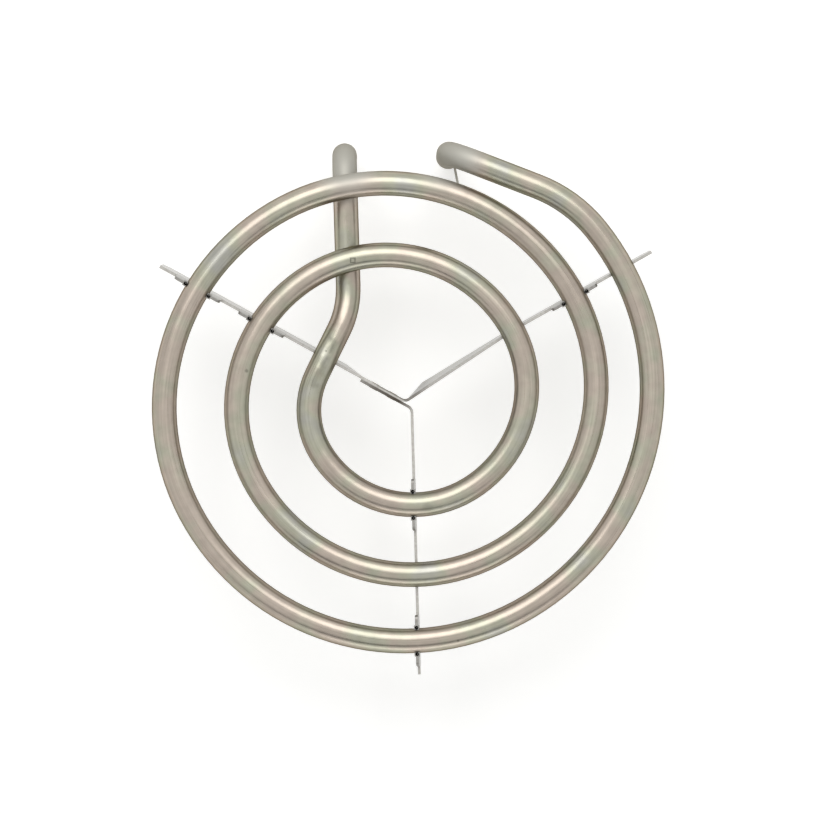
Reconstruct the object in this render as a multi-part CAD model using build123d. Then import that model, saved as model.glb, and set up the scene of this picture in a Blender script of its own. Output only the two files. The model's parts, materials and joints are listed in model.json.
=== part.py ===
from build123d import *
import math
import os

# Tubular heating element: one mineral-filled metal tube wound into a flat three-turn spiral,
# both ends bent down, held from below by a three-armed spider of two thin strips on edge.
# Millimetres.  The origin is the centre of the coil, in the plane of the tube's centreline.
# +Z points up, away from the spider, and +Y points to the side where both ends leave.

# ---- tube --------------------------------------------------------------------------------
SHEATH_DIAMETER = 8.5
SHEATH_WALL = 0.7
WINDING_DIAMETER = 4.0        # outside of the helical resistance wire
PIN_DIAMETER = 2.5            # solid cold pin, welded into each end of the winding

# ---- coil, as the bender's table: bend radius to the centreline, then the angle bent -----
FIRST_BEND_CENTRE = (-6.3, -2.8)
FIRST_BEND_HEADING = -115.7   # direction of travel where the first bend starts, degrees
FIRST_BEND = (28.0, 56.6)
QUARTER_RADII = (37.0, 41.0, 49.5, 53.0)   # four quarter bends make one turn
PITCH = 24.25                 # each turn repeats the quarters, larger by this much
FULL_TURNS = 2
CLOSING_ANGLES = (90.0, 98.0)  # two more bends of the same pattern
CLOSING_PULL_IN = 2.5         # wound tighter than the pattern by this much
LAST_BEND = (48.0, 30.0)

# ---- the two leads and their legs --------------------------------------------------------
OUTER_STRAIGHT = 32.4         # from the last bend to the outer leg's axis
TERMINAL_SPACING = 36.0       # between the two legs
CROSSING_GAP = 0.5            # between the inner lead and the turns above it
S_RUN = 25.0                  # from the S-bend's lower corner to the first bend, in plan
RISE_RUN = 18.0               # the part of that run which climbs to the coil plane
S_BEND_RADIUS = 25.0
LEVEL_BEND_RADIUS = 20.0
LEG_BEND_RADIUS = 10.0
LEG_STRAIGHT = 9.0            # the inner leg below its bend, down to the cut end

# ---- what closes each end ----------------------------------------------------------------
SEAL_LENGTH = 4.0
BUSH_SPIGOT_LENGTH = 3.0
BUSH_HEAD_LENGTH = 3.5
BUSH_HEAD_INSET = 0.45        # the head is this much smaller than the tube all round
BUSH_CLEARANCE = 0.1          # round the spigot and round the pin
BUSH_CHAMFER = 0.6
PIN_PROJECTION = 9.0          # pin beyond the bush

# ---- flag tabs, welded flat against the side of each pin ---------------------------------
TAB_THICKNESS = 0.8
TAB_WIDTH = 6.3
TAB_BLADE_LENGTH = 8.0
TAB_FOOT_LENGTH = 6.0
TAB_FOOT_STEP = 0.5           # the foot is taller than the blade by this at both edges
TAB_POINT = 1.2               # chamfer on the blade's tip
TAB_HOLE_DIAMETER = 1.7
TAB_HOLE_TO_TIP = 3.6
TAB_BUSH_GAP = 1.0            # between the bush and the foot
OUTER_TAB_HEADING = -79.0
INNER_TAB_HEADING = -90.0

# ---- spider ------------------------------------------------------------------------------
STRIP_THICKNESS = 1.0
STRIP_HEIGHT = 12.0
STRIP_BEND_RADIUS = 2.5       # to the middle of the strip
SEAT_DEPTH = 2.5              # how far the tube sinks into the strip's top edge
SEAT_CLEARANCE = 0.1
HUB = (-1.25, 0.15)           # where the long strip is bent
LEFT_ARM_HEADING = 151.2
RIGHT_ARM_HEADING = 33.5      # from the hub to the first seat
RIGHT_ARM_KINK = -4.0         # turned by hand at that seat
BOTTOM_ARM_HEADING = -88.4
LEFT_ARM_LEAN = -5.0          # foot swung to the left, looking outwards from the hub
RIGHT_ROOT_LEAN = 9.0         # next to the hub
RIGHT_ARM_LEAN = 3.0          # from the first seat outwards
TWIST_LENGTH = 7.0            # over which a lean sets in
LEFT_OVERHANG = 11.0          # each arm ends this far outside the tube
RIGHT_OVERHANG = 7.5
BOTTOM_OVERHANG = 7.5
WELD_TAIL = 17.0              # the short strip lies along the left arm for this far
CORNER_PAST_HUB = 3.1         # and is bent down this far beyond the hub
ARM_END_CHAMFER = 3.0

# ---- ears that are crimped over the tube at some seats -----------------------------------
LEFT_CRIMPS = (1, 2)          # seats counted from the hub outwards
RIGHT_CRIMPS = (1,)
BOTTOM_CRIMPS = (0, 2)
EAR_LENGTH = 4.6
EAR_TOP = 2.0                 # above the tube's axis
EAR_ROOT = 1.0                # below the strip's top edge, where ear and strip are one
EAR_CORNER = 1.5
EAR_LEAN = 8.0                # pushed over by the crimping tool, further than the strip leans
STAKE_WIDTH = 1.9             # the ear's tip, spread along the tube by the punch
STAKE_LENGTH = 1.1
STAKE_HEIGHT = 1.3
PUNCH_DIAMETER = 1.3          # conical pit that the punch leaves in the tip
PUNCH_DEPTH = 1.0

sheath_radius = SHEATH_DIAMETER / 2
bore_radius = sheath_radius - SHEATH_WALL
pin_radius = PIN_DIAMETER / 2
lead_depth = SHEATH_DIAMETER + CROSSING_GAP
leg_end_depth = lead_depth + LEG_BEND_RADIUS + LEG_STRAIGHT   # both legs are cut at one level
strip_top = SEAT_DEPTH - sheath_radius
seat_radius = sheath_radius + SEAT_CLEARANCE
DOWN = Vector(0, 0, -1)


def direction(angle):
    """Unit vector in plan, from an angle in degrees."""
    return Vector(math.cos(math.radians(angle)), math.sin(math.radians(angle)))


# ---- the tube's path ---------------------------------------------------------------------
def spiral():
    """The flat coil as tangent arcs, with its start, its end and the heading at its end."""
    turns = [(radius + turn * PITCH, 90.0) for turn in range(FULL_TURNS) for radius in QUARTER_RADII]
    tighter = FULL_TURNS * PITCH - CLOSING_PULL_IN
    closing = [(radius + tighter, bend) for radius, bend in zip(QUARTER_RADII, CLOSING_ANGLES)]
    angle = FIRST_BEND_HEADING
    point = Vector(*FIRST_BEND_CENTRE) + direction(angle - 90) * FIRST_BEND[0]
    start = point
    edges = []
    for radius, bend in (FIRST_BEND, *turns, *closing, LAST_BEND):
        centre = point + direction(angle + 90) * radius
        middle = centre + direction(angle - 90 + bend / 2) * radius
        end = centre + direction(angle - 90 + bend) * radius
        edges.append(Edge.make_three_point_arc(point, middle, end))
        point = end
        angle += bend
    return edges, start, point, angle


spiral_edges, coil_start, coil_end, end_heading = spiral()
outer_leg = coil_end + direction(end_heading) * OUTER_STRAIGHT
inner_leg = outer_leg - Vector(TERMINAL_SPACING, 0)


def inner_lead(end_depth):
    """Up the inner leg, under the turns and up to the coil: straight runs and tangent arcs."""
    travel = direction(FIRST_BEND_HEADING)
    corners = FilletPolyline(
        inner_leg + DOWN * end_depth,
        inner_leg + DOWN * lead_depth,
        coil_start - travel * S_RUN + DOWN * lead_depth,
        coil_start - travel * (S_RUN - RISE_RUN),
        coil_start,
        radius=[LEG_BEND_RADIUS, S_BEND_RADIUS, LEVEL_BEND_RADIUS],
    )
    return list(corners.edges())


def outer_lead(end_depth):
    """Straight on from the coil, then down the outer leg."""
    corners = FilletPolyline(coil_end, outer_leg, outer_leg + DOWN * end_depth, radius=LEG_BEND_RADIUS)
    return list(corners.edges())


def rod(edges, radius):
    """A round solid along a chain of edges."""
    path = Wire(edges)
    return sweep(Plane(origin=path @ 0, z_dir=path % 0) * Circle(radius), path=path)


def whole_tube(radius, end_depth):
    return rod([*inner_lead(end_depth), *spiral_edges, *outer_lead(end_depth)], radius)


# ---- tube and its filling ----------------------------------------------------------------
COLD_EDGES = 3                # leg, leg bend and straight lead hold the cold pin at both ends
pin_tip_depth = leg_end_depth + BUSH_HEAD_LENGTH + PIN_PROJECTION
fill_end_depth = leg_end_depth - BUSH_SPIGOT_LENGTH - SEAL_LENGTH

sheath = whole_tube(sheath_radius, leg_end_depth) - whole_tube(bore_radius, leg_end_depth)
winding = rod([*inner_lead(leg_end_depth)[COLD_EDGES:], *spiral_edges], WINDING_DIAMETER / 2)
inner_pin = rod(inner_lead(pin_tip_depth)[:COLD_EDGES], pin_radius)
outer_pin = rod(outer_lead(pin_tip_depth), pin_radius)
magnesia = whole_tube(bore_radius, fill_end_depth) - winding - inner_pin - outer_pin


# ---- ends --------------------------------------------------------------------------------
def ring(outer_radius, inner_radius, length):
    """A washer that stands on the origin and rises along Z."""
    return extrude(Circle(outer_radius) - Circle(inner_radius), amount=length)


def end_seal():
    """Sealing compound in the bore, between the filling and the bush."""
    return Pos(0, 0, BUSH_SPIGOT_LENGTH) * ring(bore_radius, pin_radius, SEAL_LENGTH)


def bush():
    """Ceramic bush: a spigot in the bore and a head against the tube's cut end."""
    hole_radius = pin_radius + BUSH_CLEARANCE
    spigot = ring(bore_radius - BUSH_CLEARANCE, hole_radius, BUSH_SPIGOT_LENGTH)
    head = Pos(0, 0, -BUSH_HEAD_LENGTH) * ring(sheath_radius - BUSH_HEAD_INSET, hole_radius, BUSH_HEAD_LENGTH)
    rim = head.edges().filter_by(GeomType.CIRCLE).group_by(Axis.Z)[0].sort_by(SortBy.RADIUS)[-1]
    return spigot + chamfer(rim, BUSH_CHAMFER)


def tab():
    """Flag tab in the XZ plane: a foot across the pin and a blade that reaches along +X."""
    foot_height = TAB_WIDTH + 2 * TAB_FOOT_STEP
    length = TAB_FOOT_LENGTH + TAB_BLADE_LENGTH
    blade = Rectangle(length, TAB_WIDTH, align=(Align.MIN, Align.CENTER))
    blade = chamfer(blade.vertices().group_by(Axis.X)[-1], TAB_POINT)
    foot = Rectangle(TAB_FOOT_LENGTH, foot_height, align=(Align.MIN, Align.CENTER))
    hole = Pos(length - TAB_HOLE_TO_TIP, 0) * Circle(TAB_HOLE_DIAMETER / 2)
    plate = extrude(Plane.XZ * (foot + blade - hole), amount=TAB_THICKNESS / 2, both=True)
    side = pin_radius + TAB_THICKNESS / 2
    top = -BUSH_HEAD_LENGTH - TAB_BUSH_GAP
    return Pos(-TAB_FOOT_LENGTH / 2, side, top - foot_height / 2) * plate


def at_leg_end(leg, shape, turn=0):
    end = leg + DOWN * leg_end_depth
    return Pos(end.X, end.Y, end.Z) * Rot(0, 0, turn) * shape


# ---- spider ------------------------------------------------------------------------------
def seats(origin, angle):
    """Where the tube crosses a line in plan: distance along it, point and tangent, nearest first."""
    along = direction(angle)
    across = direction(angle + 90)
    found = []
    for edge in (*inner_lead(leg_end_depth), *spiral_edges):
        samples = max(4, round(edge.length))
        offsets = [(edge @ (i / samples) - origin).dot(across) for i in range(samples + 1)]
        for i in range(samples):
            if offsets[i] * offsets[i + 1] > 0:
                continue
            share = (i + offsets[i] / (offsets[i] - offsets[i + 1])) / samples
            point = edge @ share
            distance = (point - origin).dot(along)
            if distance > 0:
                found.append((distance, point, edge % share))
    return sorted(found, key=lambda seat: seat[0])


def strip_plane(point, angle, lean=0.0):
    """Frame on the middle of the strip's top edge: X outwards along the arm, Z up the leaning strip."""
    up = Vector(0, 0, 1) * math.cos(math.radians(lean)) - direction(angle + 90) * math.sin(math.radians(lean))
    return Plane(origin=(point.X, point.Y, strip_top), x_dir=direction(angle), z_dir=up)


def strip_section(point, angle, lean=0.0):
    """The strip's cross-section at a point of its top edge."""
    frame = strip_plane(point, angle, lean)
    middle = frame.origin - frame.z_dir * (STRIP_HEIGHT / 2)
    across = Plane(origin=middle, x_dir=frame.y_dir, z_dir=frame.x_dir)
    return across * Rectangle(STRIP_THICKNESS, STRIP_HEIGHT)


def run(*stations):
    """A straight piece of strip through sections given as (point, angle, lean)."""
    pieces = [
        loft([strip_section(*near), strip_section(*far)], ruled=True)
        for near, far in zip(stations, stations[1:])
    ]
    return pieces[0].fuse(*pieces[1:]) if len(pieces) > 1 else pieces[0]


def bent(before, corner_point, after):
    """Upright strip bent round a corner, with the points where the bend starts and ends."""
    line = FilletPolyline(before, corner_point, after, radius=STRIP_BEND_RADIUS)
    arc = line.edges().filter_by(GeomType.CIRCLE)[0]
    start, end, travel = arc @ 0, arc @ 1, arc % 0
    angle = math.degrees(math.atan2(travel.Y, travel.X))
    level = Vector(0, 0, strip_top - STRIP_HEIGHT / 2)
    path = Wire([arc]).moved(Location((0, 0, level.Z)))
    return sweep(strip_section(start, angle), path=path), start, end


def seat_cutter(seat):
    """The tube with its seating clearance, as a short straight piece through the strip."""
    _, point, tangent = seat
    return Plane(origin=point, z_dir=tangent) * Cylinder(seat_radius, 3 * STRIP_THICKNESS + STAKE_WIDTH)


def ears(seat, angle, lean):
    """The pair of ears at one seat, before the tube is cut out of them."""
    reach = sheath_radius + EAR_LENGTH
    height = EAR_TOP - strip_top + EAR_ROOT
    plate = Box(2 * reach, STRIP_THICKNESS, height, align=(Align.CENTER, Align.CENTER, Align.MIN))
    plate = fillet(plate.edges().filter_by(Axis.Y).group_by(Axis.Z)[-1], EAR_CORNER)
    stake = Box(2 * (sheath_radius + STAKE_LENGTH), STAKE_WIDTH, STAKE_HEIGHT)
    stake = Pos(0, 0, height - STAKE_HEIGHT / 2) * stake
    pit = Cone(PUNCH_DIAMETER / 8, PUNCH_DIAMETER / 2, PUNCH_DEPTH, align=(Align.CENTER, Align.CENTER, Align.MAX))
    reach = sheath_radius + STAKE_LENGTH / 4
    pits = Pos(reach, 0, height) * pit + Pos(-reach, 0, height) * pit
    ear_lean = lean + math.copysign(EAR_LEAN, lean)
    return strip_plane(seat[1], angle, ear_lean) * Pos(0, 0, -EAR_ROOT) * (plate + stake - pits)


def end_cut(end, angle, lean):
    """The sloping lower corner at the free end of an arm."""
    triangle = Polyline((0, 0), (-ARM_END_CHAMFER, 0), (0, ARM_END_CHAMFER), close=True)
    wedge = extrude(Plane.XZ * make_face(triangle), amount=STRIP_THICKNESS, both=True)
    return strip_plane(end, angle, lean) * Pos(0, 0, -STRIP_HEIGHT) * wedge


def dressed(blank, arms):
    """Adds the ears and cuts the seats and the end of every (seats, crimps, angle, lean, end) arm."""
    for found, crimps, angle, lean, end in arms:
        for index in crimps:
            blank += ears(found[index], angle, lean)
        for seat in found:
            blank -= seat_cutter(seat)
        blank -= end_cut(end, angle, lean)
    return blank


def arm_end(origin, angle, outer_seat, overhang):
    return origin + direction(angle) * (outer_seat[0] + sheath_radius + overhang)


# long strip: left arm, bend at the hub, right arm
hub = Vector(*HUB)
left = direction(LEFT_ARM_HEADING)
right = direction(RIGHT_ARM_HEADING)
left_seats = seats(hub, LEFT_ARM_HEADING)
left_end = arm_end(hub, LEFT_ARM_HEADING, left_seats[-1], LEFT_OVERHANG)

first_right_seat = seats(hub, RIGHT_ARM_HEADING)[0]
kink = hub + right * first_right_seat[0]
right_heading = RIGHT_ARM_HEADING + RIGHT_ARM_KINK
outer_right_seats = [seat for seat in seats(kink, right_heading) if seat[0] > SHEATH_DIAMETER]
right_seats = [first_right_seat, *outer_right_seats]
right_end = arm_end(kink, right_heading, right_seats[-1], RIGHT_OVERHANG)

hub_bend, bend_start, bend_end = bent(left_end, hub, kink)
lap_start = hub + left * WELD_TAIL
long_strip = dressed(
    hub_bend.fuse(
        run(
            (left_end, LEFT_ARM_HEADING + 180, -LEFT_ARM_LEAN),
            (lap_start + left * TWIST_LENGTH, LEFT_ARM_HEADING + 180, -LEFT_ARM_LEAN),
            (lap_start, LEFT_ARM_HEADING + 180),
            (bend_start, LEFT_ARM_HEADING + 180),
        ),
        run(
            (bend_end, RIGHT_ARM_HEADING),
            (bend_end + right * TWIST_LENGTH, RIGHT_ARM_HEADING, RIGHT_ROOT_LEAN),
            (kink, RIGHT_ARM_HEADING + RIGHT_ARM_KINK / 2, RIGHT_ARM_LEAN),
            (right_end, right_heading, RIGHT_ARM_LEAN),
        ),
    ),
    [
        (left_seats, LEFT_CRIMPS, LEFT_ARM_HEADING, LEFT_ARM_LEAN, left_end),
        (right_seats, RIGHT_CRIMPS, right_heading, RIGHT_ARM_LEAN, right_end),
    ],
)

# short strip: tail welded along the left arm, bend, bottom arm
lap = direction(LEFT_ARM_HEADING + 90) * STRIP_THICKNESS
tail_end = lap_start + lap
corner = hub + lap - left * CORNER_PAST_HUB
bottom_seats = seats(corner, BOTTOM_ARM_HEADING)
bottom_end = arm_end(corner, BOTTOM_ARM_HEADING, bottom_seats[-1], BOTTOM_OVERHANG)

corner_bend, bend_start, bend_end = bent(tail_end, corner, bottom_end)
short_strip = dressed(
    corner_bend.fuse(
        run((tail_end, LEFT_ARM_HEADING + 180), (bend_start, LEFT_ARM_HEADING + 180)),
        run((bend_end, BOTTOM_ARM_HEADING), (bottom_end, BOTTOM_ARM_HEADING)),
    ),
    [(bottom_seats, BOTTOM_CRIMPS, BOTTOM_ARM_HEADING, 0.0, bottom_end)],
)

# ---- one file for each piece -------------------------------------------------------------
parts = {
    "sheath": sheath,
    "magnesia_fill": magnesia,
    "resistance_winding": winding,
    "inner_cold_pin": inner_pin,
    "outer_cold_pin": outer_pin,
    "inner_end_seal": at_leg_end(inner_leg, end_seal()),
    "outer_end_seal": at_leg_end(outer_leg, end_seal()),
    "inner_ceramic_bush": at_leg_end(inner_leg, bush()),
    "outer_ceramic_bush": at_leg_end(outer_leg, bush()),
    "inner_terminal_tab": at_leg_end(inner_leg, tab(), INNER_TAB_HEADING),
    "outer_terminal_tab": at_leg_end(outer_leg, tab(), OUTER_TAB_HEADING),
    "spider_long_strip": long_strip,
    "spider_short_strip": short_strip,
}

os.makedirs("parts", exist_ok=True)
for name, shape in parts.items():
    export_step(shape, f"parts/{name}.step")
    print(name, round(shape.volume, 1), "mm3", len(shape.solids()), "solid(s)")

print("legs at", outer_leg, inner_leg)
print("seats left", [round(seat[0], 1) for seat in left_seats])
print("seats right", [round(seat[0], 1) for seat in right_seats])
print("seats bottom", [round(seat[0], 1) for seat in bottom_seats])
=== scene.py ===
# %% [markdown]
# # A spiral heating element on its spider
# The real thing is a metal tube filled with white powder and a glowing wire,
# wound into a flat spiral and held by a spider of two steel strips on edge.
# Its shape comes ready made from the CAD model. This script gives every part its
# finish, adds the small marks that tools leave behind, and sets up light and camera.

import json
import math

import bmesh
import bpy
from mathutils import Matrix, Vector


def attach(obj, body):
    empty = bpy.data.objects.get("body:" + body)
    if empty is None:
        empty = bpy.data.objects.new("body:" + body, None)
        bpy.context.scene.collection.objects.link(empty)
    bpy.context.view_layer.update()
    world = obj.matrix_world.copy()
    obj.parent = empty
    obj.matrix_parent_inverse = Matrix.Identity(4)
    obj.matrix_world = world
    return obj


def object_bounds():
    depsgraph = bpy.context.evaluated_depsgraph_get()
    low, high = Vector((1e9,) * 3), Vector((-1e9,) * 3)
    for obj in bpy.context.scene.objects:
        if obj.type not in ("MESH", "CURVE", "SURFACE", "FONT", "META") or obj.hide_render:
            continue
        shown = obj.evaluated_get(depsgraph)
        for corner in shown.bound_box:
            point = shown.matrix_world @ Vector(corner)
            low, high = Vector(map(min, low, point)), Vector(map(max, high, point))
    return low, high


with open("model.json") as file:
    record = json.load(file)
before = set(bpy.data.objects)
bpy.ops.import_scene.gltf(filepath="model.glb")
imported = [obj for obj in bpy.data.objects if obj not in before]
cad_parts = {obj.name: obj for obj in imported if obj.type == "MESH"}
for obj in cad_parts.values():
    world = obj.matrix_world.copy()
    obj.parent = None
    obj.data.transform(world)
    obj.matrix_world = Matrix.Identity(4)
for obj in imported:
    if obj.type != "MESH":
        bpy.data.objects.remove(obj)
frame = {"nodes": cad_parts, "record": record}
nodes = frame["nodes"]
cad_low, cad_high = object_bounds()
print("CAD nodes:", ", ".join(sorted(nodes)))
print("CAD box in mm:", [round(v * 1000, 1) for v in (*cad_low, *cad_high)])

# %% [markdown]
# Blender works in metres, but a part this small is easier to think of in millimetres.
# Colours are picked as hex values, the way paint charts and screens give them,
# and a shader wants them linear, so one function converts them. Level directions are
# given as headings, in degrees from +X, and a second function turns them into vectors.

# %% Units, colours and headings
MM = 0.001


def linear(hex_colour):
    """An sRGB hex colour such as "#aba596" as linear red, green, blue and alpha."""
    channels = [int(hex_colour[i:i + 2], 16) / 255 for i in (1, 3, 5)]
    return [c / 12.92 if c <= 0.04045 else ((c + 0.055) / 1.055) ** 2.4 for c in channels] + [1]


def towards(heading):
    """The level direction of a heading in degrees."""
    return Vector((math.cos(math.radians(heading)), math.sin(math.radians(heading)), 0))


print("mid grey is", round(linear("#808080")[0], 3), "in linear light")

# %% [markdown]
# Every finish below is a small graph of nodes. One function adds a node, sets it up and
# plugs it in: a socket given another node's output is linked, any other value is set.


# %% A function that adds a node
def add(tree, kind, inputs=None, **settings):
    """Adds a node with its settings; inputs maps a socket's name or number to a value or an output."""
    node = tree.nodes.new(kind)
    for name, value in settings.items():
        setattr(node, name, value)
    for socket, value in (inputs or {}).items():
        if isinstance(value, bpy.types.NodeSocket):
            tree.links.new(value, node.inputs[socket])
        else:
            node.inputs[socket].default_value = value
    return node


def new_material(name):
    """An empty material and its node tree, with the surface output ready."""
    material = bpy.data.materials.new(name)
    material.use_nodes = True
    material.node_tree.nodes.clear()
    output = material.node_tree.nodes.new("ShaderNodeOutputMaterial")
    return material, material.node_tree, output


def finish_node(name, material):
    """Gives a CAD node its material."""
    mesh = nodes[name].data
    mesh.materials.clear()
    mesh.materials.append(material)
    print(name, "is now", material.name)


# %% [markdown]
# ## The sheath
# The tube is a nickel alloy, drawn through a die and then annealed after the powder
# inside was compacted. Drawing leaves very fine lines along the tube, and
# annealing turns the bright metal satin and slightly warm, with cloudy pink and green
# tints where the oxide is a little thicker. So the finish needs three things: a coordinate
# that runs round the tube, clouds of colour, and a soft gloss.

# %% Sheath: coordinates along and round the tube
sheath_metal, tree, output = new_material("annealed_nickel_alloy_drawn")
TUBE_RADIUS = 4.25

place = add(tree, "ShaderNodeTexCoord")
in_mm = add(tree, "ShaderNodeVectorMath", {0: place.outputs["Object"], "Scale": 1 / MM}, operation="SCALE")
flat = add(tree, "ShaderNodeVectorMath", {0: in_mm.outputs[0], 1: (1, 1, 0)}, operation="MULTIPLY")
outwards = add(tree, "ShaderNodeVectorMath", {0: flat.outputs[0]}, operation="NORMALIZE")
facing_out = add(
    tree,
    "ShaderNodeVectorMath",
    {0: place.outputs["Normal"], 1: outwards.outputs[0]},
    operation="DOT_PRODUCT",
)
normal_xyz = add(tree, "ShaderNodeSeparateXYZ", {0: place.outputs["Normal"]})
round_tube = add(
    tree, "ShaderNodeMath", {0: facing_out.outputs["Value"], 1: normal_xyz.outputs["Z"]}, operation="ARCTAN2"
)
around = add(tree, "ShaderNodeMath", {0: round_tube.outputs[0], 1: TUBE_RADIUS}, operation="MULTIPLY")
print("distance round the tube runs from 0 to", round(math.pi * TUBE_RADIUS, 1), "mm on each side")

# %% [markdown]
# Real drawing lines are about 0.02 mm apart, too fine to see here, so they are drawn
# 0.6 mm wide and 40 mm long. The noise is stretched: fast round the tube, slow along it.

# %% Sheath: drawing lines
LINE_WIDTH = 0.6
LINE_LENGTH = 40.0
along = add(tree, "ShaderNodeVectorMath", {0: flat.outputs[0], "Scale": 1 / LINE_LENGTH}, operation="SCALE")
across = add(tree, "ShaderNodeMath", {0: around.outputs[0], 1: 1 / LINE_WIDTH}, operation="MULTIPLY")
across_xyz = add(tree, "ShaderNodeCombineXYZ", {"Z": across.outputs[0]})
line_space = add(
    tree,
    "ShaderNodeVectorMath",
    {0: along.outputs[0], 1: across_xyz.outputs[0]},
    operation="ADD",
)
lines = add(tree, "ShaderNodeTexNoise", {"Vector": line_space.outputs[0], "Scale": 1.0, "Detail": 3.0})
print("lines", LINE_WIDTH, "mm wide")

# %% [markdown]
# The clouds of the annealing oxide are 10 to 30 mm long and very faint. One noise picks
# between hex colours that differ by only a few steps, from pink-grey through sand and
# green-grey to a bluer grey. A second, smaller noise makes them uneven. Noise runs from
# 0 to 1, but nearly all of it lies between 0.3 and 0.7, so that range is the one that
# gets stretched over light and dark.

# %% Sheath: annealing tints
CLOUD_SIZE = 15.0
MOTTLE_SIZE = 3.5
NOISE_LOW = 0.3
NOISE_HIGH = 0.7
TINTS = (
    (0.0, "#b0a59b"),
    (0.42, "#b0a599"),
    (0.50, "#aea799"),
    (0.57, "#a8a796"),
    (0.70, "#a5a49c"),
    (1.0, "#a4a49f"),
)
clouds = add(tree, "ShaderNodeTexNoise", {"Vector": in_mm.outputs[0], "Scale": 1 / CLOUD_SIZE, "Detail": 2.0})
mottle = add(
    tree, "ShaderNodeTexNoise", {"Vector": in_mm.outputs[0], "Scale": 1 / MOTTLE_SIZE, "Detail": 4.0}
)
tints = add(tree, "ShaderNodeValToRGB", {"Fac": clouds.outputs["Fac"]})
while len(tints.color_ramp.elements) < len(TINTS):
    tints.color_ramp.elements.new(1.0)
for stop, (position, tint) in zip(tints.color_ramp.elements, TINTS):
    stop.position = position
    stop.color = linear(tint)
mottled = add(
    tree,
    "ShaderNodeMapRange",
    {
        "Value": mottle.outputs["Fac"],
        "From Min": NOISE_LOW,
        "From Max": NOISE_HIGH,
        "To Min": 0.92,
        "To Max": 1.04,
    },
)
streaked = add(
    tree,
    "ShaderNodeMapRange",
    {
        "Value": lines.outputs["Fac"],
        "From Min": NOISE_LOW,
        "From Max": NOISE_HIGH,
        "To Min": 0.88,
        "To Max": 1.08,
    },
)
shade = add(tree, "ShaderNodeMath", {0: mottled.outputs[0], 1: streaked.outputs[0]}, operation="MULTIPLY")
clean = add(
    tree,
    "ShaderNodeVectorMath",
    {0: tints.outputs["Color"], "Scale": shade.outputs[0]},
    operation="SCALE",
)
print(len(TINTS), "stops of annealing tint")

# %% [markdown]
# Handling leaves its own marks: a few small dark pits and a rubbed patch. Each is a
# ball in space that darkens the metal where it touches, with an edge that noise makes uneven.

# %% Sheath: marks from handling
MARKS = [  # x, y, z, radius in mm, darkening
    (-28.3, 17.3, 3.0, 0.7, 0.78),
    (-55.5, 10.6, 3.6, 0.8, 0.40),
    (16.8, -81.5, 3.6, 0.7, 0.40),
    (26.0, -77.4, 3.8, 0.6, 0.40),
    (6.2, -36.3, 3.8, 2.4, 0.15),
]
MARK_CORE = 0.9  # shares of the radius where a mark starts to fade and has gone
MARK_RIM = 1.6
marks = []
for x, y, z, radius, strength in MARKS:
    gap = add(tree, "ShaderNodeVectorMath", {0: in_mm.outputs[0], 1: (x, y, z)}, operation="DISTANCE")
    wobble = add(
        tree,
        "ShaderNodeMath",
        {0: mottle.outputs["Fac"], 1: radius, 2: gap.outputs["Value"]},
        operation="MULTIPLY_ADD",
    )
    mark = add(
        tree,
        "ShaderNodeMapRange",
        {
            "Value": wobble.outputs[0],
            "From Min": radius * MARK_CORE,
            "From Max": radius * MARK_RIM,
            "To Min": strength,
            "To Max": 0.0,
        },
        interpolation_type="SMOOTHSTEP",
    )
    marks.append(mark.outputs[0])
print(len(MARKS), "marks")

# %% [markdown]
# The bending tool rubbed a long dark streak on the upper side of the S-bend. The nearest
# point of the streak's middle line is found first, and the distance from it is the mask.

# %% Sheath: the streak on the S-bend
RUB_START = (-26.0, 21.0, 0.0)
RUB_HEADING = (-0.40, -0.917, 0.0)
RUB_LENGTH = 16.0
RUB_UNEVEN = 3.0
RUB_CORE = 1.6
RUB_RIM = 3.4
from_start = add(tree, "ShaderNodeVectorMath", {0: in_mm.outputs[0], 1: RUB_START}, operation="SUBTRACT")
level = add(tree, "ShaderNodeVectorMath", {0: from_start.outputs[0], 1: (1, 1, 0)}, operation="MULTIPLY")
travel = add(tree, "ShaderNodeVectorMath", {0: level.outputs[0], 1: RUB_HEADING}, operation="DOT_PRODUCT")
clamped = add(
    tree,
    "ShaderNodeMapRange",
    {"Value": travel.outputs["Value"], "From Max": RUB_LENGTH, "To Max": RUB_LENGTH},
)
nearest = add(tree, "ShaderNodeVectorMath", {0: RUB_HEADING, "Scale": clamped.outputs[0]}, operation="SCALE")
off_streak = add(
    tree,
    "ShaderNodeVectorMath",
    {0: level.outputs[0], 1: nearest.outputs[0]},
    operation="DISTANCE",
)
ragged = add(
    tree,
    "ShaderNodeMath",
    {0: mottle.outputs["Fac"], 1: RUB_UNEVEN, 2: off_streak.outputs["Value"]},
    operation="MULTIPLY_ADD",
)
streak = add(
    tree,
    "ShaderNodeMapRange",
    {"Value": ragged.outputs[0], "From Min": RUB_CORE, "From Max": RUB_RIM, "To Min": 0.5, "To Max": 0.0},
    interpolation_type="SMOOTHSTEP",
)
fading = add(
    tree,
    "ShaderNodeMapRange",
    {"Value": travel.outputs["Value"], "From Max": RUB_LENGTH, "To Min": 1.0, "To Max": 0.45},
)
upper = add(tree, "ShaderNodeMapRange", {"Value": normal_xyz.outputs["Z"], "From Min": 0.2, "From Max": 0.6})
streak = add(tree, "ShaderNodeMath", {0: streak.outputs[0], 1: fading.outputs[0]}, operation="MULTIPLY")
streak = add(tree, "ShaderNodeMath", {0: streak.outputs[0], 1: upper.outputs[0]}, operation="MULTIPLY")
print("streak", RUB_LENGTH, "mm long")

# %% [markdown]
# One inspection stamp is left by the bench where the coil was tested: a plain hollow
# square, 1.5 mm across, pressed into the top of the middle turn. A square is all the
# points whose larger distance along either side is the same. Where several masks meet,
# as they do after the stamp, a loop takes the larger of each pair, starting from 0.

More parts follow.
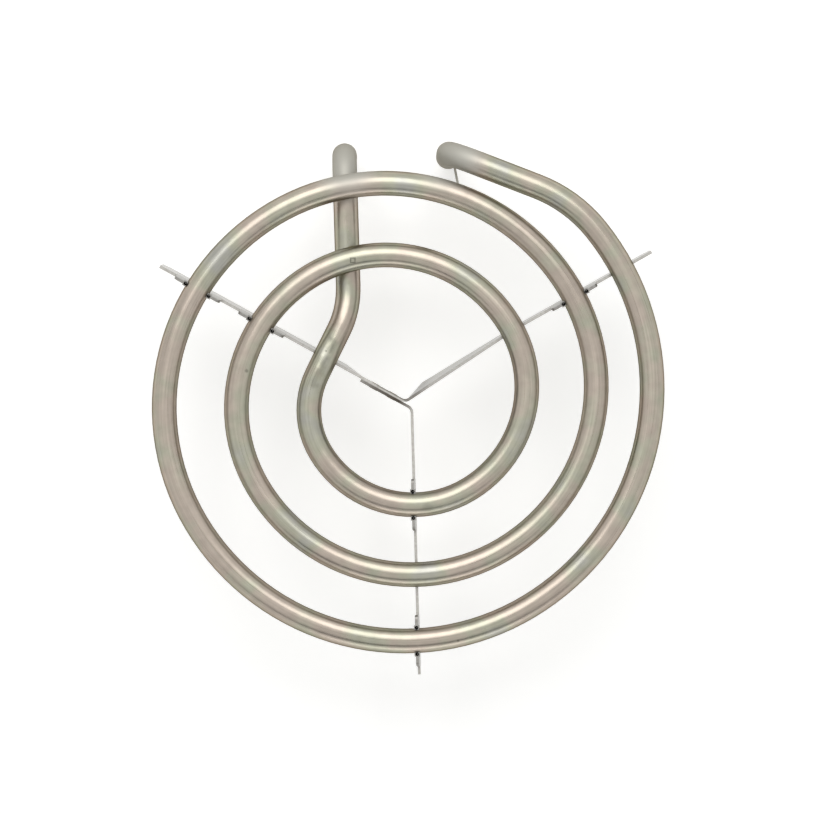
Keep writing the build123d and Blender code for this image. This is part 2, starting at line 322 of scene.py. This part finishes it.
# %% Sheath: the square inspection stamp
STAMP = (-19.2, 48.4, 4.0)
STAMP_HALF = 0.75
STAMP_LINE_CORE = 0.12
STAMP_LINE_RIM = 0.32
from_stamp = add(tree, "ShaderNodeVectorMath", {0: in_mm.outputs[0], 1: STAMP}, operation="SUBTRACT")
sides = add(tree, "ShaderNodeVectorMath", {0: from_stamp.outputs[0]}, operation="ABSOLUTE")
side_xyz = add(tree, "ShaderNodeSeparateXYZ", {0: sides.outputs[0]})
larger = 0.0
for axis in "XYZ":
    pair = {0: larger, 1: side_xyz.outputs[axis]}
    larger = add(tree, "ShaderNodeMath", pair, operation="MAXIMUM").outputs[0]
from_line = add(tree, "ShaderNodeMath", {0: larger, 1: STAMP_HALF}, operation="SUBTRACT")
off_line = add(tree, "ShaderNodeMath", {0: from_line.outputs[0]}, operation="ABSOLUTE")
stamp = add(
    tree,
    "ShaderNodeMapRange",
    {
        "Value": off_line.outputs[0],
        "From Min": STAMP_LINE_CORE,
        "From Max": STAMP_LINE_RIM,
        "To Min": 0.5,
        "To Max": 0.0,
    },
)
dirt = 0.0
for mask in (*marks, streak.outputs[0], stamp.outputs[0]):
    dirt = add(tree, "ShaderNodeMath", {0: dirt, 1: mask}, operation="MAXIMUM").outputs[0]
keep = add(tree, "ShaderNodeMath", {0: 1.0, 1: dirt}, operation="SUBTRACT")
print("stamp", 2 * STAMP_HALF, "mm across")

# %% [markdown]
# The tube's colour is painted darker on its flanks, where the surface faces sideways:
# painted shade, for the dark rims that a round tube shows when seen from above.

# %% Sheath: painted shade on the flanks
FLANK_SHADE = 0.74
steep = add(tree, "ShaderNodeMath", {0: normal_xyz.outputs["Z"]}, operation="ABSOLUTE")
flank = add(
    tree,
    "ShaderNodeMapRange",
    {"Value": steep.outputs[0], "From Min": 0.05, "From Max": 0.55, "To Min": FLANK_SHADE, "To Max": 1.0},
    interpolation_type="SMOOTHSTEP",
)
# Painted shade: the colour is darkened where the flanks face sideways, together with the marks.
marks_and_flank_shade = add(tree, "ShaderNodeMath", {0: keep.outputs[0], 1: flank.outputs[0]}, operation="MULTIPLY")
marked_and_flank_shaded = add(
    tree,
    "ShaderNodeVectorMath",
    {0: clean.outputs[0], "Scale": marks_and_flank_shade.outputs[0]},
    operation="SCALE",
)
print(f"flanks at {FLANK_SHADE:.0%}")

# %% [markdown]
# The two ends stay cold in use, and they were blasted clean so that the bushes grip.
# That leaves both legs, from their bend down to the cut, paler, even and matt. The blast
# reached as far as a ball with a soft edge: a distance, and a map range that fades it.


# %% Sheath: blasted cold ends
def soft_ball(tree, point, centre, core, rim, strength):
    """A mask with its full strength inside core and nothing outside rim, both radii in mm."""
    gap = add(tree, "ShaderNodeVectorMath", {0: point, 1: centre}, operation="DISTANCE")
    ball = add(
        tree,
        "ShaderNodeMapRange",
        {"Value": gap.outputs["Value"], "From Min": core, "From Max": rim, "To Min": strength, "To Max": 0.0},
        interpolation_type="SMOOTHSTEP",
    )
    return ball.outputs[0]


COLD_ENDS = ((-22.3, 84.0, -5.0), (13.7, 85.5, -5.0))
BLAST_CORE = 10.0
BLAST_RIM = 18.0
BLAST_FADES = (-14.0, -17.0)  # heights in mm where the leg starts to be matt and is all matt
blasts = [soft_ball(tree, in_mm.outputs[0], end, BLAST_CORE, BLAST_RIM, 1.0) for end in COLD_ENDS]
height_xyz = add(tree, "ShaderNodeSeparateXYZ", {0: in_mm.outputs[0]})
below = add(
    tree,
    "ShaderNodeMapRange",
    {"Value": height_xyz.outputs["Z"], "From Min": BLAST_FADES[0], "From Max": BLAST_FADES[1]},
)
cold = 0.0
for mask in (*blasts, below.outputs[0]):
    cold = add(tree, "ShaderNodeMath", {0: cold, 1: mask}, operation="MAXIMUM").outputs[0]
skin = add(
    tree,
    "ShaderNodeMix",
    {0: cold, 6: marked_and_flank_shaded.outputs[0], 7: linear("#b0aea6")},
    data_type="RGBA",
)
print(len(COLD_ENDS), "blasted ends")

# %% Sheath: surface
BLASTED_ROUGHNESS = 0.62
lined = add(
    tree,
    "ShaderNodeMapRange",
    {
        "Value": lines.outputs["Fac"],
        "From Min": NOISE_LOW,
        "From Max": NOISE_HIGH,
        "To Min": 0.26,
        "To Max": 0.36,
    },
)
rough = add(tree, "ShaderNodeMix", {0: cold, 2: lined.outputs[0], 3: BLASTED_ROUGHNESS})
relief = add(
    tree,
    "ShaderNodeMath",
    {0: mottle.outputs["Fac"], 1: 0.5, 2: lines.outputs["Fac"]},
    operation="MULTIPLY_ADD",
)
bump = add(tree, "ShaderNodeBump", {"Height": relief.outputs[0], "Strength": 0.35, "Distance": 0.03 * MM})
metal = add(
    tree,
    "ShaderNodeBsdfPrincipled",
    {
        "Base Color": skin.outputs[2],
        "Metallic": 1.0,
        "Roughness": rough.outputs[0],
        "Specular Tint": linear("#8c8274"),
        "Normal": bump.outputs["Normal"],
    },
)
tree.links.new(metal.outputs[0], output.inputs["Surface"])
finish_node("sheath", sheath_metal)

# %% [markdown]
# ## The spider's strips
# The strips are cold rolled stainless steel, 1 mm thick, cut off a coil with a shear.
# Their faces are bright and almost smooth. The cut edges, which are what shows from
# above, are half shiny and half torn, so they get a coarser and rougher surface.

# %% Strip: bright faces and sheared edges
TORN_SIZE = 0.8
ROLLED_LENGTH = 30
ROLLED_GAP = 0.3
strip_metal, tree, output = new_material("stainless_strip_sheared")
place = add(tree, "ShaderNodeTexCoord")
in_mm = add(tree, "ShaderNodeVectorMath", {0: place.outputs["Object"], "Scale": 1 / MM}, operation="SCALE")
normal_xyz = add(tree, "ShaderNodeSeparateXYZ", {0: place.outputs["Normal"]})
upright = add(tree, "ShaderNodeMath", {0: normal_xyz.outputs["Z"]}, operation="ABSOLUTE")
edge = add(
    tree,
    "ShaderNodeMapRange",
    {"Value": upright.outputs[0], "From Min": 0.6, "From Max": 0.9},
    interpolation_type="SMOOTHSTEP",
)
torn = add(
    tree,
    "ShaderNodeTexNoise",
    {"Vector": in_mm.outputs[0], "Scale": 1 / TORN_SIZE, "Detail": 4.0, "Roughness": 0.6},
)
stretch = add(
    tree,
    "ShaderNodeVectorMath",
    {0: in_mm.outputs[0], 1: (1 / ROLLED_LENGTH, 1 / ROLLED_LENGTH, 1 / ROLLED_GAP)},
    operation="MULTIPLY",
)
rolled = add(tree, "ShaderNodeTexNoise", {"Vector": stretch.outputs[0], "Scale": 1.0, "Detail": 3.0})
print("rolling lines run along the strip,", ROLLED_GAP, "mm apart")

# %% Strip: colour
STRIP_FACE = "#a3a19c"
face_shade = add(
    tree,
    "ShaderNodeMapRange",
    {
        "Value": rolled.outputs["Fac"],
        "From Min": NOISE_LOW,
        "From Max": NOISE_HIGH,
        "To Min": 0.93,
        "To Max": 1.04,
    },
)
face_colour = add(
    tree,
    "ShaderNodeVectorMath",
    {0: linear(STRIP_FACE)[:3], "Scale": face_shade.outputs[0]},
    operation="SCALE",
)
edge_shade = add(tree, "ShaderNodeValToRGB", {"Fac": torn.outputs["Fac"]})
edge_shade.color_ramp.elements[0].position = 0.32
edge_shade.color_ramp.elements[0].color = linear("#a5a29c")
edge_shade.color_ramp.elements[1].position = 0.62
edge_shade.color_ramp.elements[1].color = linear("#bab8b3")
colour = add(
    tree,
    "ShaderNodeMix",
    {0: edge.outputs[0], 6: face_colour.outputs[0], 7: edge_shade.outputs["Color"]},
    data_type="RGBA",
)
print("faces", STRIP_FACE, "and sheared edges")

# %% [markdown]
# The short strip's tail is spot welded to the left arm. Welding heat leaves temper
# colours: dark brown along the seam, fading to straw. They are placed with two rulers,
# one that measures out along the left arm from the hub, and one that measures across it.

# %% Strip: temper colours along the weld
HUB = Vector((-1.25, 0.15, 0.0))
LEFT_ARM_HEADING = 151.2
ALONG_LEFT_ARM = towards(LEFT_ARM_HEADING)
ACROSS_LEFT_ARM = towards(LEFT_ARM_HEADING + 90)
HEAT_START = -5.0  # the ruler along the arm runs from just behind the hub to past the weld
HEAT_END = 20.0
SHORT_STRIP_HEAT = ((-4.2, 0.0), (-2.0, 0.45), (2.0, 0.95), (11.0, 0.80), (17.0, 0.50), (17.6, 0.0))
LONG_STRIP_HEAT = ((-4.8, 0.0), (-2.0, 0.55), (2.0, 0.65), (10.0, 0.60), (14.0, 0.0), (20.0, 0.0))
ON_SHORT_STRIP = (0.40, 0.60)  # mm across the arm, where a mask starts and where it is full
ON_LONG_STRIP = (0.05, -0.25)
NEAR_SEAM = (4.0, 2.0)
place_xyz = add(tree, "ShaderNodeSeparateXYZ", {0: place.outputs["Object"]})
from_hub = add(tree, "ShaderNodeVectorMath", {0: in_mm.outputs[0], 1: HUB}, operation="SUBTRACT")
out = add(tree, "ShaderNodeVectorMath", {0: from_hub.outputs[0], 1: ALONG_LEFT_ARM}, operation="DOT_PRODUCT")
side = add(
    tree,
    "ShaderNodeVectorMath",
    {0: from_hub.outputs[0], 1: ACROSS_LEFT_ARM},
    operation="DOT_PRODUCT",
)
reach = add(
    tree, "ShaderNodeMapRange", {"Value": out.outputs["Value"], "From Min": HEAT_START, "From Max": HEAT_END}
)
short_tint = add(tree, "ShaderNodeValToRGB", {"Fac": reach.outputs[0]})
long_tint = add(tree, "ShaderNodeValToRGB", {"Fac": reach.outputs[0]})
for ramp, stops in ((short_tint.color_ramp, SHORT_STRIP_HEAT), (long_tint.color_ramp, LONG_STRIP_HEAT)):
    while len(ramp.elements) < len(stops):
        ramp.elements.new(1.0)
    for element, (distance, strength) in zip(ramp.elements, stops):
        element.position = (distance - HEAT_START) / (HEAT_END - HEAT_START)
        element.color = (strength, strength, strength, 1)
across = side.outputs["Value"]
on_short, on_long, near = [
    add(tree, "ShaderNodeMapRange", {"Value": across, "From Min": start, "From Max": full}).outputs[0]
    for start, full in (ON_SHORT_STRIP, ON_LONG_STRIP, NEAR_SEAM)
]
burnt = add(tree, "ShaderNodeMath", {0: short_tint.outputs["Color"], 1: on_short}, operation="MULTIPLY")
burnt = add(tree, "ShaderNodeMath", {0: burnt.outputs[0], 1: near}, operation="MULTIPLY")
straw = add(tree, "ShaderNodeMath", {0: long_tint.outputs["Color"], 1: on_long}, operation="MULTIPLY")
print("the ruler along the left arm runs from", HEAT_START, "to", HEAT_END, "mm")

# %% [markdown]
# Each spot weld also leaves a round halo on both strips, half way down their faces.

# %% Strip: halos round the spot welds
WELD_DISTANCES = (5.0, 12.0)
WELD_HEIGHT = -7.75
WELD_PLANE = 0.5  # across the arm, where the two strips touch
HALO_CORE = 1.8
HALO_RIM = 3.4


def on_left_arm(distance, offset):
    """A point at the welds' height, in mm: a distance along the left arm, an offset across it."""
    return HUB + ALONG_LEFT_ARM * distance + ACROSS_LEFT_ARM * offset + Vector((0, 0, WELD_HEIGHT))


halos = [
    soft_ball(tree, in_mm.outputs[0], on_left_arm(distance, WELD_PLANE), HALO_CORE, HALO_RIM, 0.6)
    for distance in WELD_DISTANCES
]
heat = 0.0
for mask in (burnt.outputs[0], straw.outputs[0], *halos):
    heat = add(tree, "ShaderNodeMath", {0: heat, 1: mask}, operation="MAXIMUM").outputs[0]
tempered = add(
    tree,
    "ShaderNodeMix",
    {0: heat, 6: colour.outputs[2], 7: linear("#3d362c")},
    data_type="RGBA",
)
print("temper colours reach 17 mm along the left arm")

# %% [markdown]
# After the tube was laid in the spider, a punch struck each ear beside the tube, so the
# metal spread and gripped it. The small pits are in the CAD model, and their places are
# read from it: a pit's floor looks nearly straight up, about 1 mm above the tube's axis,
# and no other face of the strips does that. A step up from the floor, along the way that
# it looks, leads to the mouth.

# %% Strip: find the punch pits
PIT_FLOOR_HEIGHT = 1.0
PIT_FLOOR_SPREAD = 0.2
PIT_STEP = 1.0
PIT_SPACE = 1.0  # faces nearer to each other than this belong to one pit
LOOKS_UP = 0.9


def pit_mouths(name):
    """A point at the mouth of every pit in a strip, in mm."""
    floors = []
    for face in nodes[name].data.polygons:
        off_height = abs(face.center.z / MM - PIT_FLOOR_HEIGHT)
        if face.normal.z < LOOKS_UP or off_height > PIT_FLOOR_SPREAD:
            continue
        same = [floor for floor in floors if (floor[0].center - face.center).length < PIT_SPACE * MM]
        if same:
            same[0].append(face)
        else:
            floors.append([face])
    mouths = []
    for floor in floors:
        area = sum(face.area for face in floor)
        middle = sum((face.center * face.area for face in floor), Vector()) / area
        mouths.append(middle / MM + floor[0].normal * PIT_STEP)
    return mouths


pits = [*pit_mouths("spider_long_strip"), *pit_mouths("spider_short_strip")]
print(len(pits), "punch pits found")

# %% [markdown]
# A small, nearly black ball of colour is painted into each pit, and the ears are
# painted darker towards their tips.

# %% Strip: nearly black punch pits and darker ears' tips
TIP_START = -0.5
TIP_END = 1.0
# The ears are painted darker, down to 72 percent, from 0.5 mm below the tube's axis up to 1 mm above it.
tip = add(
    tree,
    "ShaderNodeMapRange",
    {
        "Value": place_xyz.outputs["Z"],
        "From Min": TIP_START * MM,
        "From Max": TIP_END * MM,
        "To Min": 1.0,
        "To Max": 0.72,
    },
)
PIT_DARK_HEIGHT = 1.5
PIT_DARK_CORE = 0.4
PIT_DARK_RIM = 0.7
# Each pit gets a small ball of nearly black colour.
pit_dark_mask = 0.0
for pit in pits:
    spot = soft_ball(tree, in_mm.outputs[0], (pit.x, pit.y, PIT_DARK_HEIGHT), PIT_DARK_CORE, PIT_DARK_RIM, 0.93)
    pit_dark_mask = add(tree, "ShaderNodeMath", {0: pit_dark_mask, 1: spot}, operation="MAXIMUM").outputs[0]
scaled = add(
    tree,
    "ShaderNodeMix",
    {0: pit_dark_mask, 6: tempered.outputs[2], 7: linear("#1f1c19")},
    data_type="RGBA",
)
# The pits' near black and the darker tips go into the strip's colour here.
pits_and_tips_darkened = add(
    tree,
    "ShaderNodeVectorMath",
    {0: scaled.outputs[2], "Scale": tip.outputs[0]},
    operation="SCALE",
)
print(len(pits), "punch pits darkened")

# %% Strip: surface
rough = add(tree, "ShaderNodeMapRange", {"Value": edge.outputs[0], "To Min": 0.24, "To Max": 0.46})
relief = add(
    tree,
    "ShaderNodeMix",
    {0: edge.outputs[0], 2: rolled.outputs["Fac"], 3: torn.outputs["Fac"]},
)
bump = add(tree, "ShaderNodeBump", {"Height": relief.outputs[0], "Strength": 0.4, "Distance": 0.05 * MM})
metal = add(
    tree,
    "ShaderNodeBsdfPrincipled",
    {
        "Base Color": pits_and_tips_darkened.outputs[0],
        "Metallic": 1.0,
        "Roughness": rough.outputs[0],
        "Normal": bump.outputs["Normal"],
    },
)
tree.links.new(metal.outputs[0], output.inputs["Surface"])
finish_node("spider_long_strip", strip_metal)
finish_node("spider_short_strip", strip_metal)

# %% [markdown]
# ## Tabs and pins
# The flag tabs are steel sheet and the cold pins steel rod, both plated with nickel so
# that they don't rust in a warm, damp place. Electroplated nickel is bright with a
# yellow cast, and fine scratches from the push-on connector run along the tab.


# %% A recipe for plated and wire metals
def metal_finish(name, hex_colour, roughness, grain_mm, stretch_by, contrast):
    """A metal whose grain is noise grain_mm wide, stretched by (x, y, z) factors."""
    material, tree, output = new_material(name)
    place = add(tree, "ShaderNodeTexCoord")
    scale = [1 / (MM * grain_mm * factor) for factor in stretch_by]
    spread = add(tree, "ShaderNodeVectorMath", {0: place.outputs["Object"], 1: scale}, operation="MULTIPLY")
    grain = add(tree, "ShaderNodeTexNoise", {"Vector": spread.outputs[0], "Scale": 1.0, "Detail": 4.0})
    shade = add(
        tree,
        "ShaderNodeMapRange",
        {
            "Value": grain.outputs["Fac"],
            "From Min": NOISE_LOW,
            "From Max": NOISE_HIGH,
            "To Min": 1 - contrast,
            "To Max": 1 + contrast / 3,
        },
    )
    colour = add(
        tree,
        "ShaderNodeVectorMath",
        {0: linear(hex_colour)[:3], "Scale": shade.outputs[0]},
        operation="SCALE",
    )
    rough = add(
        tree,
        "ShaderNodeMapRange",
        {"Value": grain.outputs["Fac"], "To Min": roughness * 0.8, "To Max": roughness * 1.2},
    )
    bump = add(
        tree, "ShaderNodeBump", {"Height": grain.outputs["Fac"], "Strength": 0.3, "Distance": 0.03 * MM}
    )
    metal = add(
        tree,
        "ShaderNodeBsdfPrincipled",
        {
            "Base Color": colour.outputs[0],
            "Metallic": 1.0,
            "Roughness": rough.outputs[0],
            "Normal": bump.outputs["Normal"],
        },
    )
    tree.links.new(metal.outputs[0], output.inputs["Surface"])
    return material


tab_metal = metal_finish("nickel_plated_tab_sheet", "#bebbb2", 0.26, 0.4, (1, 20, 1), 0.10)
pin_steel = metal_finish("nickel_plated_pin_rod", "#b3afa2", 0.24, 0.4, (1, 1, 20), 0.08)
winding_alloy = metal_finish("nickel_chrome_resistance_wire", "#8f8a84", 0.38, 0.5, (1, 1, 1), 0.16)
for name in ("inner_terminal_tab", "outer_terminal_tab"):
    finish_node(name, tab_metal)
for name in ("inner_cold_pin", "outer_cold_pin"):
    finish_node(name, pin_steel)
finish_node("resistance_winding", winding_alloy)

# %% [markdown]
# ## Spot welds
# A spot welder squeezes two sheets between copper tips and melts a small nugget. Outside,
# each tip leaves a round, dished print with a raised rim. They are real geometry here:
# a short profile, turned round the axis that points out of the face.

# %% Spot welds on the spider
WELD_PROFILE = ((0.35, 0.02), (0.62, 0.04), (0.80, 0.12), (0.92, 0.10), (1.0, -0.03))  # share of radius, mm
WELD_STEPS = 28
DISH_HEIGHT = 0.02
BACK_DEPTH = 0.05


def spot_welds(name, spots, radius, material):
    """One piece with a print at every (centre in mm, heading); heading is the way that the face looks."""
    shell = bmesh.new()
    for centre, heading in spots:
        out_of_face = towards(heading)
        sideways = towards(heading + 90)
        middle = shell.verts.new((centre + out_of_face * DISH_HEIGHT) * MM)
        back = shell.verts.new((centre - out_of_face * BACK_DEPTH) * MM)
        rings = []
        for share, height in WELD_PROFILE:
            ring = []
            for step in range(WELD_STEPS):
                angle = 2 * math.pi * step / WELD_STEPS
                offset = sideways * math.cos(angle) + Vector((0, 0, 1)) * math.sin(angle)
                ring.append(shell.verts.new((centre + out_of_face * height + offset * radius * share) * MM))
            rings.append(ring)
        for step in range(WELD_STEPS):
            after = (step + 1) % WELD_STEPS
            shell.faces.new((middle, rings[0][step], rings[0][after]))
            for inner, outer in zip(rings, rings[1:]):
                shell.faces.new((inner[step], outer[step], outer[after], inner[after]))
            shell.faces.new((back, rings[-1][after], rings[-1][step]))
    for face in shell.faces:
        face.smooth = True
    mesh = bpy.data.meshes.new(name)
    shell.to_mesh(mesh)
    shell.free()
    piece = bpy.data.objects.new(name, mesh)
    bpy.context.scene.collection.objects.link(piece)
    mesh.materials.append(material)
    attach(piece, "root")
    print(name, "has", len(spots), "prints")


LONG_STRIP_FACE = (-0.5, LEFT_ARM_HEADING - 90)  # across the arm in mm, and where the face looks
SHORT_STRIP_FACE = (1.5, LEFT_ARM_HEADING + 90)
SPIDER_WELD_RADIUS = 1.6
spider_spots = [
    (on_left_arm(distance, face_at), heading)
    for distance in WELD_DISTANCES
    for face_at, heading in (LONG_STRIP_FACE, SHORT_STRIP_FACE)
]
weld_print = metal_finish("weld_print_straw_oxide", "#8d8170", 0.34, 0.3, (1, 1, 1), 0.2)
spot_welds("spider_spot_welds", spider_spots, SPIDER_WELD_RADIUS, weld_print)

# %% [markdown]
# Each tab is welded to the side of its pin. The record's mounts say where each leg ends
# and which way its tab points, and the face with the prints looks 90 degrees to the left of that.

# %% Spot welds on the tabs
TAB_WELD_HEIGHTS = (-34.4, -37.9)
TAB_WELD_RADIUS = 0.9
PIN_RADIUS = 1.25
TAB_THICKNESS = 0.8
TAB_FACE = PIN_RADIUS + TAB_THICKNESS  # from the pin's axis
mounts = {mount["name"]: mount for mount in frame["record"]["mounts"]}
tab_spots = []
for end in ("inner", "outer"):
    leg_x, leg_y, _ = mounts[f"{end}_leg"]["pos_m"]
    tab_x, tab_y, _ = mounts[f"{end}_tab"]["axis"]
    heading = math.degrees(math.atan2(tab_y, tab_x)) + 90
    for height in TAB_WELD_HEIGHTS:
        centre = Vector((leg_x / MM, leg_y / MM, height)) + towards(heading) * TAB_FACE
        tab_spots.append((centre, heading))
spot_welds("tab_spot_welds", tab_spots, TAB_WELD_RADIUS, weld_print)

# %% [markdown]
# ## Bushes, seals and powder
# Three parts don't conduct. The bushes are steatite, a pressed and fired white ceramic
# with a dry, faintly pitted skin. The seals are cured silicone, poured while liquid, so
# they are smooth and a little waxy. The powder in the tube is magnesium oxide, packed
# hard like chalk. One recipe covers them: a pale colour with freckles, and fine relief.


# %% A recipe for ceramic, rubber and powder
def mineral_finish(name, pale_hex, dark_hex, roughness, grain_mm, relief_mm, through=0.0):
    """A pale non-metal with darker freckles; through is how much light goes into it."""
    material, tree, output = new_material(name)
    place = add(tree, "ShaderNodeTexCoord")
    scaled = {"Vector": place.outputs["Object"], "Scale": 1 / (MM * grain_mm), "Detail": 5.0}
    grain = add(tree, "ShaderNodeTexNoise", scaled)
    freckles = add(tree, "ShaderNodeValToRGB", {"Fac": grain.outputs["Fac"]})
    freckles.color_ramp.elements[0].position = 0.30
    freckles.color_ramp.elements[0].color = linear(dark_hex)
    freckles.color_ramp.elements[1].position = 0.52
    freckles.color_ramp.elements[1].color = linear(pale_hex)
    bump = add(
        tree,
        "ShaderNodeBump",
        {"Height": grain.outputs["Fac"], "Strength": 0.5, "Distance": relief_mm * MM},
    )
    surface = add(
        tree,
        "ShaderNodeBsdfPrincipled",
        {
            "Base Color": freckles.outputs["Color"],
            "Roughness": roughness,
            "Subsurface Weight": through,
            "Subsurface Scale": 1.0 * MM,
            "Normal": bump.outputs["Normal"],
        },
    )
    tree.links.new(surface.outputs[0], output.inputs["Surface"])
    return material


steatite = mineral_finish("fired_steatite", "#ece5d6", "#cfc5b2", 0.62, 0.5, 0.06)
silicone = mineral_finish("cured_silicone_seal", "#dcd6c8", "#c9c1b0", 0.42, 2.5, 0.03, through=0.15)
magnesia = mineral_finish("packed_magnesium_oxide", "#f0eee8", "#dad6cb", 0.9, 0.3, 0.05)
for name in ("inner_ceramic_bush", "outer_ceramic_bush"):
    finish_node(name, steatite)
for name in ("inner_end_seal", "outer_end_seal"):
    finish_node(name, silicone)
finish_node("magnesia_fill", magnesia)

# %% [markdown]
# ## Floor, light and camera
# A product shot uses a white table and big soft lights. The floor lies just under the
# ends of the tabs. It looks white to the camera and in reflections, and still catches
# the soft shadow. The Light Path node says what kind of ray asks, so floor and world
# can be white where they are seen, and dimmer where they only light the coil.


# %% A mask for what is seen
def seen_mask(tree):
    """1 for rays that show a surface to the camera, straight, mirrored or through glass."""
    path = add(tree, "ShaderNodeLightPath")
    seen = 0.0
    for kind in ("Is Camera Ray", "Is Glossy Ray", "Is Transmission Ray"):
        seen = add(tree, "ShaderNodeMath", {0: seen, 1: path.outputs[kind]}, operation="MAXIMUM").outputs[0]
    return seen


# %% Floor
FLOOR_BELOW = 1.0
FLOOR_LIFT = 0.42
bpy.ops.mesh.primitive_plane_add(size=6, location=(0, 0, cad_low.z - FLOOR_BELOW * MM))
floor = bpy.context.object
floor.name = "studio_floor"
floor_paper, tree, output = new_material("matt_white_paper")
lift = add(tree, "ShaderNodeMath", {0: seen_mask(tree), 1: FLOOR_LIFT}, operation="MULTIPLY")
paper = add(
    tree,
    "ShaderNodeBsdfPrincipled",
    {
        "Base Color": linear("#f2f2f0"),
        "Roughness": 0.9,
        "Emission Color": (1, 1, 1, 1),
        "Emission Strength": lift.outputs[0],
    },
)
tree.links.new(paper.outputs[0], output.inputs["Surface"])
floor.data.materials.append(floor_paper)
print("floor at z =", round(floor.location.z / MM, 1), "mm")

# %% World
ROOM_LIGHT = 0.55
BACKDROP_LIGHT = 1.0
world = bpy.data.worlds.new("studio")
bpy.context.scene.world = world
world.use_nodes = True
tree = world.node_tree
tree.nodes.clear()
room = add(tree, "ShaderNodeBackground", {"Color": (1, 1, 1, 1), "Strength": ROOM_LIGHT})
backdrop = add(tree, "ShaderNodeBackground", {"Color": (1, 1, 1, 1), "Strength": BACKDROP_LIGHT})
both = add(tree, "ShaderNodeMixShader", {0: seen_mask(tree), 1: room.outputs[0], 2: backdrop.outputs[0]})
add(tree, "ShaderNodeOutputWorld", {"Surface": both.outputs[0]})
print("the room gives", ROOM_LIGHT, "of the backdrop's light")


# %% Soft lights
def studio_place(heading, height, distance):
    """A place round the coil: heading and height above the horizon in degrees, distance in metres."""
    rise = math.radians(height)
    return towards(heading) * distance * math.cos(rise) + Vector((0, 0, distance * math.sin(rise)))


def soft_box(name, heading, height, distance, size, power):
    """An area light at a place in the studio that faces the coil."""
    light = bpy.data.lights.new(name, "AREA")
    light.shape = "RECTANGLE"
    light.size, light.size_y = size
    light.energy = power
    lamp = bpy.data.objects.new(name, light)
    bpy.context.scene.collection.objects.link(lamp)
    lamp.location = studio_place(heading, height, distance)
    lamp.rotation_euler = (-lamp.location).to_track_quat("-Z", "Y").to_euler()


soft_box("key_box", heading=97, height=54, distance=1.0, size=(0.9, 0.7), power=4.3)
soft_box("low_fill_box", heading=-85, height=10, distance=1.0, size=(0.9, 0.25), power=1.0)
print("key light above the far side, a low fill at the near side")

# %% [markdown]
# In a studio a black card, called a flag, often stands beside shiny metal. It is out of
# the picture itself, but the tube reflects it as a dark line that shows how round it is.

# %% Black flag at the near side
FLAG_HEADING = -90
FLAG_HEIGHT = 40.0
FLAG_DISTANCE = 1.2
FLAG_SIZE = (1.8, 0.26)
bpy.ops.mesh.primitive_plane_add(size=1)
flag = bpy.context.object
flag.name = "black_flag"
flag.scale = (*FLAG_SIZE, 1.0)
flag.location = studio_place(FLAG_HEADING, FLAG_HEIGHT, FLAG_DISTANCE)
flag.rotation_euler = (-flag.location).to_track_quat("Z", "Y").to_euler()
felt, tree, output = new_material("black_felt")
cloth = add(tree, "ShaderNodeBsdfPrincipled", {"Base Color": linear("#2b2b2b"), "Roughness": 1.0})
tree.links.new(cloth.outputs[0], output.inputs["Surface"])
flag.data.materials.append(felt)
print("flag stands", FLAG_HEIGHT, "degrees above the horizon")

# %% [markdown]
# The camera looks straight down from 1.5 m, so every ring shows round and the two legs
# hide below their own bends.

# %% Camera
VIEW_WIDTH = 278.8
VIEW_CENTRE = (-0.685, -1.71)
CAMERA_HEIGHT = 1.5
camera = bpy.data.objects.new("camera", bpy.data.cameras.new("camera"))
bpy.context.scene.collection.objects.link(camera)
camera.data.sensor_width = 36
camera.data.lens = camera.data.sensor_width * CAMERA_HEIGHT / (VIEW_WIDTH * MM)
camera.location = (VIEW_CENTRE[0] * MM, VIEW_CENTRE[1] * MM, CAMERA_HEIGHT)
bpy.context.scene.camera = camera
bpy.context.scene.view_settings.view_transform = "Standard"
print("lens", round(camera.data.lens), "mm")
